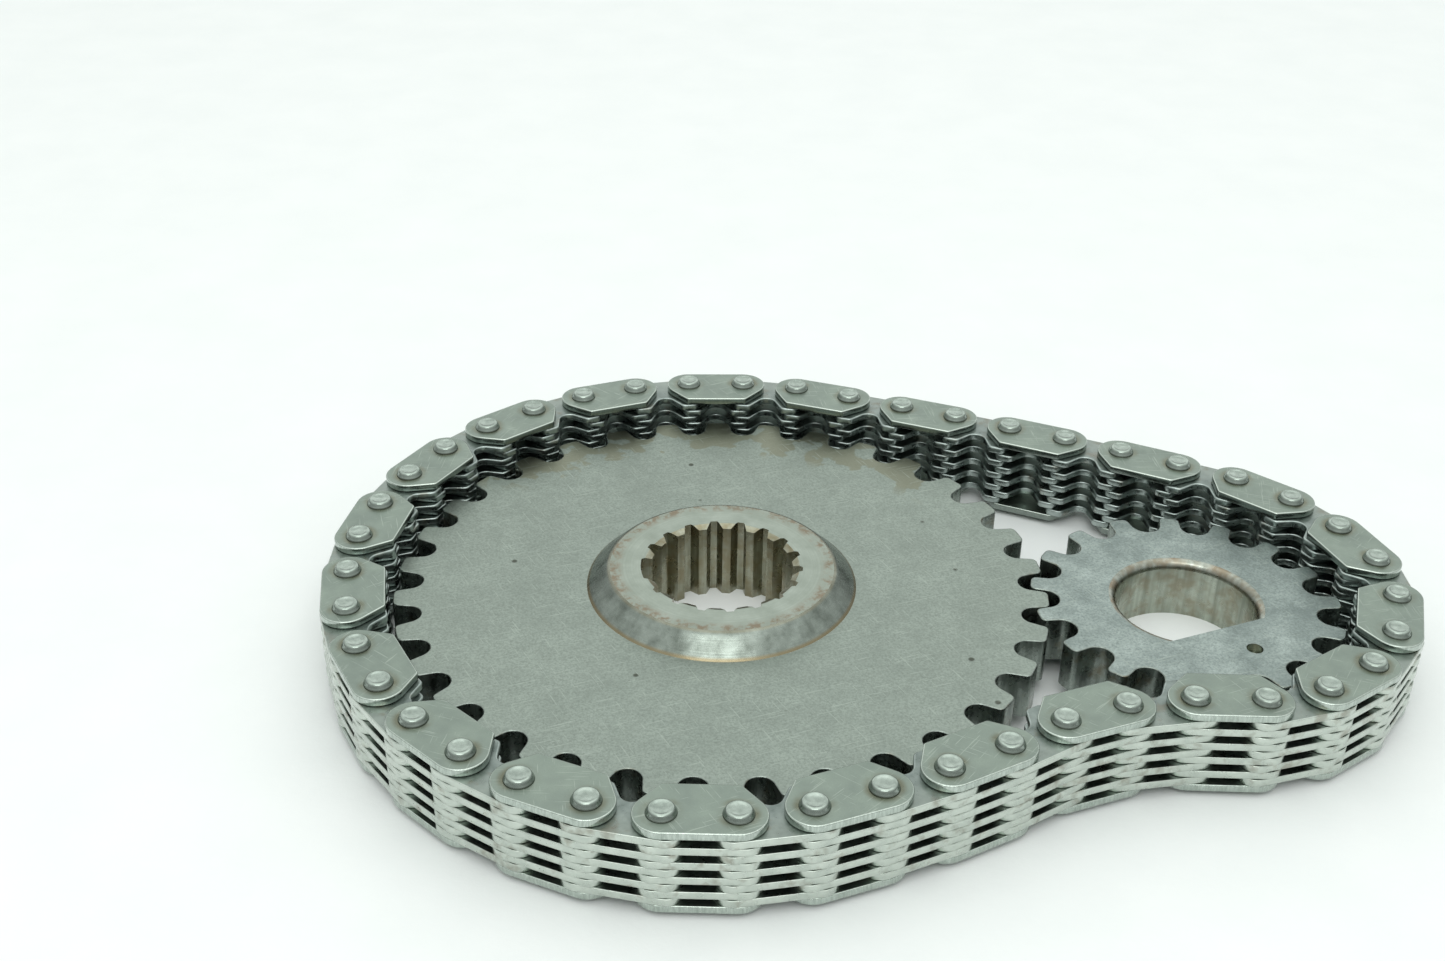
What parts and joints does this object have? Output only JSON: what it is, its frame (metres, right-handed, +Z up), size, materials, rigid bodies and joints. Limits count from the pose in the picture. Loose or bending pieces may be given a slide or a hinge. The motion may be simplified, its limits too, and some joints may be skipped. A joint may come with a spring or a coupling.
{
  "type": "inverted tooth chain drive",
  "caption": "Silent (inverted-tooth) timing chain of riveted plate rows lying in a loop round a large splined sprocket and a small D-bore sprocket.",
  "frame": {"origin": "on the large sprocket's axis, at the bench plane the sprockets' hubs and the chain's lower rivet heads rest on", "axes": "+Z up along the sprocket axes, +X from the large sprocket towards the small one, +Y to the rear run of the chain"},
  "size_m": [0.1622, 0.1202, 0.015],
  "materials": {
    "guide_rows": "satin, lightly oiled",
    "inner_rows": "dark, oily",
    "large_sprocket": "ground, matt",
    "small_sprocket": "ground, matt"
  },
  "bodies": {
    "resting_rows": {"guide_link_01": "guide_rows", "guide_link_06": "guide_rows", "guide_link_10": "guide_rows", "guide_link_14": "guide_rows", "guide_link_18": "guide_rows"},
    "inner_row_01": {"inner_link_01": "inner_rows"},
    "guide_row_02": {"guide_link_02": "guide_rows"},
    "inner_row_02": {"inner_link_02": "inner_rows"},
    "guide_row_03": {"guide_link_03": "guide_rows"},
    "inner_row_03": {"inner_link_03": "inner_rows"},
    "guide_row_04": {"guide_link_04": "guide_rows"},
    "inner_row_04": {"inner_link_04": "inner_rows"},
    "guide_row_05": {"guide_link_05": "guide_rows"},
    "inner_row_05": {"inner_link_05": "inner_rows"},
    "inner_row_06": {"inner_link_06": "inner_rows"},
    "guide_row_07": {"guide_link_07": "guide_rows"},
    "inner_row_07": {"inner_link_07": "inner_rows"},
    "guide_row_08": {"guide_link_08": "guide_rows"},
    "inner_row_08": {"inner_link_08": "inner_rows"},
    "guide_row_09": {"guide_link_09": "guide_rows"},
    "inner_row_09": {"inner_link_09": "inner_rows"},
    "inner_row_10": {"inner_link_10": "inner_rows"},
    "guide_row_11": {"guide_link_11": "guide_rows"},
    "inner_row_11": {"inner_link_11": "inner_rows"},
    "guide_row_12": {"guide_link_12": "guide_rows"},
    "inner_row_12": {"inner_link_12": "inner_rows"},
    "guide_row_13": {"guide_link_13": "guide_rows"},
    "inner_row_13": {"inner_link_13": "inner_rows"},
    "inner_row_14": {"inner_link_14": "inner_rows"},
    "guide_row_15": {"guide_link_15": "guide_rows"},
    "inner_row_15": {"inner_link_15": "inner_rows"},
    "guide_row_16": {"guide_link_16": "guide_rows"},
    "inner_row_16": {"inner_link_16": "inner_rows"},
    "guide_row_17": {"guide_link_17": "guide_rows"},
    "inner_row_17": {"inner_link_17": "inner_rows"},
    "inner_row_18": {"inner_link_18": "inner_rows"},
    "guide_row_19": {"guide_link_19": "guide_rows"},
    "inner_row_19": {"inner_link_19": "inner_rows"},
    "guide_row_20": {"guide_link_20": "guide_rows"},
    "inner_row_20": {"inner_link_20": "inner_rows"},
    "guide_row_21": {"guide_link_21": "guide_rows"},
    "inner_row_21": {"inner_link_21": "inner_rows"},
    "guide_row_22": {"guide_link_22": "guide_rows"},
    "inner_row_22": {"inner_link_22": "inner_rows"},
    "large_sprocket": {"large_sprocket": "large_sprocket"},
    "small_sprocket": {"small_sprocket": "small_sprocket"}
  },
  "joints": [
    {"name": "pivot_01", "type": "hinge", "parent": "resting_rows", "child": "inner_row_01", "pos_m": [-0.05419, 0.01127, 0.0075], "axis": [0, 0, 1], "range_deg": [-0.8, 0.8]},
    {"name": "pivot_02", "type": "hinge", "parent": "inner_row_01", "child": "guide_row_02", "pos_m": [-0.05146, 0.02039, 0.0075], "axis": [0, 0, 1], "range_deg": [-0.0844, 0.0844]},
    {"name": "pivot_03", "type": "hinge", "parent": "guide_row_02", "child": "inner_row_02", "pos_m": [-0.0472, 0.02891, 0.0075], "axis": [0, 0, 1], "range_deg": [-0.75, 0.75]},
    {"name": "pivot_04", "type": "hinge", "parent": "inner_row_02", "child": "guide_row_03", "pos_m": [-0.04155, 0.03658, 0.0075], "axis": [0, 0, 1], "range_deg": [-1, 1]},
    {"name": "pivot_05", "type": "hinge", "parent": "guide_row_03", "child": "inner_row_03", "pos_m": [-0.03467, 0.04316, 0.0075], "axis": [0, 0, 1], "range_deg": [-0.4554, 0.4554]},
    {"name": "pivot_10", "type": "hinge", "parent": "resting_rows", "child": "inner_row_05", "pos_m": [0.01016, 0.05443, 0.0075], "axis": [0, 0, 1], "range_deg": [-0.8, 0.8]},
    {"name": "pivot_09", "type": "hinge", "parent": "inner_row_05", "child": "guide_row_05", "pos_m": [0.00068, 0.05537, 0.0075], "axis": [0, 0, 1], "range_deg": [-0.0844, 0.0844]},
    {"name": "pivot_08", "type": "hinge", "parent": "guide_row_05", "child": "inner_row_04", "pos_m": [-0.00882, 0.05466, 0.0075], "axis": [0, 0, 1], "range_deg": [-0.75, 0.75]},
    {"name": "far_wrap_flex", "type": "hinge", "parent": "inner_row_04", "child": "guide_row_04", "pos_m": [-0.01805, 0.05234, 0.0075], "axis": [0, 0, 1], "range_deg": [-1, 1]},
    {"name": "pivot_11", "type": "hinge", "parent": "resting_rows", "child": "inner_row_06", "pos_m": [0.01934, 0.05189, 0.0075], "axis": [0, 0, 1], "range_deg": [-2.46, 2.46]},
    {"name": "pivot_12", "type": "hinge", "parent": "inner_row_06", "child": "guide_row_07", "pos_m": [0.02847, 0.04915, 0.0075], "axis": [0, 0, 1], "range_deg": [-0.96, 0.96]},
    {"name": "rear_run_flex", "type": "hinge", "parent": "guide_row_07", "child": "inner_row_07", "pos_m": [0.03753, 0.04624, 0.0075], "axis": [0, 0, 1], "range_deg": [-3.5, 3.5]},
    {"name": "pivot_14", "type": "hinge", "parent": "inner_row_07", "child": "guide_row_08", "pos_m": [0.04654, 0.04314, 0.0075], "axis": [0, 0, 1], "range_deg": [-1.94, 1.94]},
    {"name": "pivot_18", "type": "hinge", "parent": "resting_rows", "child": "inner_row_09", "pos_m": [0.08189, 0.02894, 0.0075], "axis": [0, 0, 1], "range_deg": [-2.46, 2.46]},
    {"name": "pivot_17", "type": "hinge", "parent": "inner_row_09", "child": "guide_row_09", "pos_m": [0.07316, 0.03276, 0.0075], "axis": [0, 0, 1], "range_deg": [-0.96, 0.96]},
    {"name": "pivot_16", "type": "hinge", "parent": "guide_row_09", "child": "inner_row_08", "pos_m": [0.06436, 0.0364, 0.0075], "axis": [0, 0, 1], "range_deg": [-3.5, 3.5]},
    {"name": "pivot_19", "type": "hinge", "parent": "resting_rows", "child": "inner_row_10", "pos_m": [0.08933, 0.023, 0.0075], "axis": [0, 0, 1], "range_deg": [-1.98, 1.98]},
    {"name": "pivot_20", "type": "hinge", "parent": "inner_row_10", "child": "guide_row_11", "pos_m": [0.095, 0.01534, 0.0075], "axis": [0, 0, 1], "range_deg": [-0.56, 0.56]},
    {"name": "small_wrap_flex", "type": "hinge", "parent": "guide_row_11", "child": "inner_row_11", "pos_m": [0.09849, 0.00648, 0.0075], "axis": [0, 0, 1], "range_deg": [-2.5, 2.5]},
    {"name": "pivot_22", "type": "hinge", "parent": "inner_row_11", "child": "guide_row_12", "pos_m": [0.09902, -0.00303, 0.0075], "axis": [0, 0, 1], "range_deg": [-1.42, 1.42]},
    {"name": "pivot_26", "type": "hinge", "parent": "resting_rows", "child": "inner_row_13", "pos_m": [0.07481, -0.02926, 0.0075], "axis": [0, 0, 1], "range_deg": [-1.95, 1.95]},
    {"name": "pivot_25", "type": "hinge", "parent": "inner_row_13", "child": "guide_row_13", "pos_m": [0.08377, -0.02604, 0.0075], "axis": [0, 0, 1], "range_deg": [-0.58, 0.58]},
    {"name": "pivot_24", "type": "hinge", "parent": "guide_row_13", "child": "inner_row_12", "pos_m": [0.09127, -0.02016, 0.0075], "axis": [0, 0, 1], "range_deg": [-2.49, 2.49]},
    {"name": "front_run_flex", "type": "hinge", "parent": "resting_rows", "child": "inner_row_14", "pos_m": [0.06529, -0.02949, 0.0075], "axis": [0, 0, 1], "range_deg": [-1, 3]},
    {"name": "pivot_28", "type": "hinge", "parent": "inner_row_14", "child": "guide_row_15", "pos_m": [0.056, -0.0316, 0.0075], "axis": [0, 0, 1], "range_deg": [-0.3, 0.9]},
    {"name": "pivot_29", "type": "hinge", "parent": "guide_row_15", "child": "inner_row_15", "pos_m": [0.04731, -0.0355, 0.0075], "axis": [0, 0, 1], "range_deg": [-1.57, 0.52]},
    {"name": "pivot_30", "type": "hinge", "parent": "inner_row_15", "child": "guide_row_16", "pos_m": [0.03957, -0.04105, 0.0075], "axis": [0, 0, 1], "range_deg": [-2.82, 0.94]},
    {"name": "pivot_34", "type": "hinge", "parent": "resting_rows", "child": "inner_row_17", "pos_m": [0.00517, -0.05676, 0.0075], "axis": [0, 0, 1], "range_deg": [-2.28, 0.76]},
    {"name": "pivot_33", "type": "hinge", "parent": "inner_row_17", "child": "guide_row_17", "pos_m": [0.01444, -0.05457, 0.0075], "axis": [0, 0, 1], "range_deg": [-1.25, 0.41]},
    {"name": "pivot_32", "type": "hinge", "parent": "guide_row_17", "child": "inner_row_16", "pos_m": [0.0231, -0.0506, 0.0075], "axis": [0, 0, 1], "range_deg": [-0.2202, 0.6607]},
    {"name": "pivot_35", "type": "hinge", "parent": "resting_rows", "child": "inner_row_18", "pos_m": [-0.00435, -0.05708, 0.0075], "axis": [0, 0, 1], "range_deg": [-1.97, 1.18]},
    {"name": "pivot_36", "type": "hinge", "parent": "inner_row_18", "child": "guide_row_19", "pos_m": [-0.01375, -0.05552, 0.0075], "axis": [0, 0, 1], "range_deg": [-0.1986, 0.1192]},
    {"name": "pivot_37", "type": "hinge", "parent": "guide_row_19", "child": "inner_row_19", "pos_m": [-0.02265, -0.05214, 0.0075], "axis": [0, 0, 1], "range_deg": [-1.12, 1.86]},
    {"name": "pivot_38", "type": "hinge", "parent": "inner_row_19", "child": "guide_row_20", "pos_m": [-0.03087, -0.04733, 0.0075], "axis": [0, 0, 1], "range_deg": [-1.49, 2.49]},
    {"name": "pivot_39", "type": "hinge", "parent": "guide_row_20", "child": "inner_row_20", "pos_m": [-0.03819, -0.04123, 0.0075], "axis": [0, 0, 1], "range_deg": [-0.67, 1.12]},
    {"name": "pivot_44", "type": "hinge", "parent": "resting_rows", "child": "inner_row_22", "pos_m": [-0.05532, 0.00181, 0.0075], "axis": [0, 0, 1], "range_deg": [-1.99, 1.2]},
    {"name": "pivot_43", "type": "hinge", "parent": "inner_row_22", "child": "guide_row_22", "pos_m": [-0.05487, -0.0077, 0.0075], "axis": [0, 0, 1], "range_deg": [-0.2159, 0.1296]},
    {"name": "pivot_42", "type": "hinge", "parent": "guide_row_22", "child": "inner_row_21", "pos_m": [-0.05286, -0.01701, 0.0075], "axis": [0, 0, 1], "range_deg": [-1.12, 1.86]},
    {"name": "near_wrap_flex", "type": "hinge", "parent": "inner_row_21", "child": "guide_row_21", "pos_m": [-0.04934, -0.02586, 0.0075], "axis": [0, 0, 1], "range_deg": [-1.5, 2.5]},
    {"name": "large_sprocket_spin", "type": "hinge", "parent": "resting_rows", "child": "large_sprocket", "pos_m": [0, 0, 0.006], "axis": [0, 0, 1], "continuous": true},
    {"name": "small_sprocket_spin", "type": "hinge", "parent": "resting_rows", "child": "small_sprocket", "pos_m": [0.0696, 0, 0.005], "axis": [0, 0, 1], "continuous": true}
  ],
  "couplings": [
    {"joint": "pivot_01", "follows": "far_wrap_flex", "ratio": -0.79777},
    {"joint": "pivot_02", "follows": "far_wrap_flex", "ratio": -0.0844},
    {"joint": "pivot_03", "follows": "far_wrap_flex", "ratio": 0.7461},
    {"joint": "pivot_04", "follows": "far_wrap_flex", "ratio": 1},
    {"joint": "pivot_05", "follows": "far_wrap_flex", "ratio": 0.4554},
    {"joint": "pivot_10", "follows": "far_wrap_flex", "ratio": -0.79777},
    {"joint": "pivot_09", "follows": "far_wrap_flex", "ratio": -0.0844},
    {"joint": "pivot_08", "follows": "far_wrap_flex", "ratio": 0.7461},
    {"joint": "pivot_11", "follows": "rear_run_flex", "ratio": -0.70366},
    {"joint": "pivot_12", "follows": "rear_run_flex", "ratio": 0.27384},
    {"joint": "pivot_14", "follows": "rear_run_flex", "ratio": 0.55333},
    {"joint": "pivot_18", "follows": "rear_run_flex", "ratio": -0.70366},
    {"joint": "pivot_17", "follows": "rear_run_flex", "ratio": 0.27384},
    {"joint": "pivot_16", "follows": "rear_run_flex", "ratio": 1},
    {"joint": "pivot_19", "follows": "small_wrap_flex", "ratio": -0.79316},
    {"joint": "pivot_20", "follows": "small_wrap_flex", "ratio": 0.22448},
    {"joint": "pivot_22", "follows": "small_wrap_flex", "ratio": 0.56815},
    {"joint": "pivot_26", "follows": "small_wrap_flex", "ratio": -0.78018},
    {"joint": "pivot_25", "follows": "small_wrap_flex", "ratio": 0.23237},
    {"joint": "pivot_24", "follows": "small_wrap_flex", "ratio": 0.99534},
    {"joint": "pivot_28", "follows": "front_run_flex", "ratio": 0.2985},
    {"joint": "pivot_29", "follows": "front_run_flex", "ratio": -0.52406},
    {"joint": "pivot_30", "follows": "front_run_flex", "ratio": -0.93925},
    {"joint": "pivot_34", "follows": "front_run_flex", "ratio": -0.76036},
    {"joint": "pivot_33", "follows": "front_run_flex", "ratio": -0.41497},
    {"joint": "pivot_32", "follows": "front_run_flex", "ratio": 0.2202},
    {"joint": "pivot_35", "follows": "near_wrap_flex", "ratio": -0.78947},
    {"joint": "pivot_36", "follows": "near_wrap_flex", "ratio": -0.07943},
    {"joint": "pivot_37", "follows": "near_wrap_flex", "ratio": 0.74531},
    {"joint": "pivot_38", "follows": "near_wrap_flex", "ratio": 0.99423},
    {"joint": "pivot_39", "follows": "near_wrap_flex", "ratio": 0.44838},
    {"joint": "pivot_44", "follows": "near_wrap_flex", "ratio": -0.79792},
    {"joint": "pivot_43", "follows": "near_wrap_flex", "ratio": -0.08634},
    {"joint": "pivot_42", "follows": "near_wrap_flex", "ratio": 0.74364},
    {"joint": "small_sprocket_spin", "follows": "large_sprocket_spin", "ratio": -2}
  ]
}
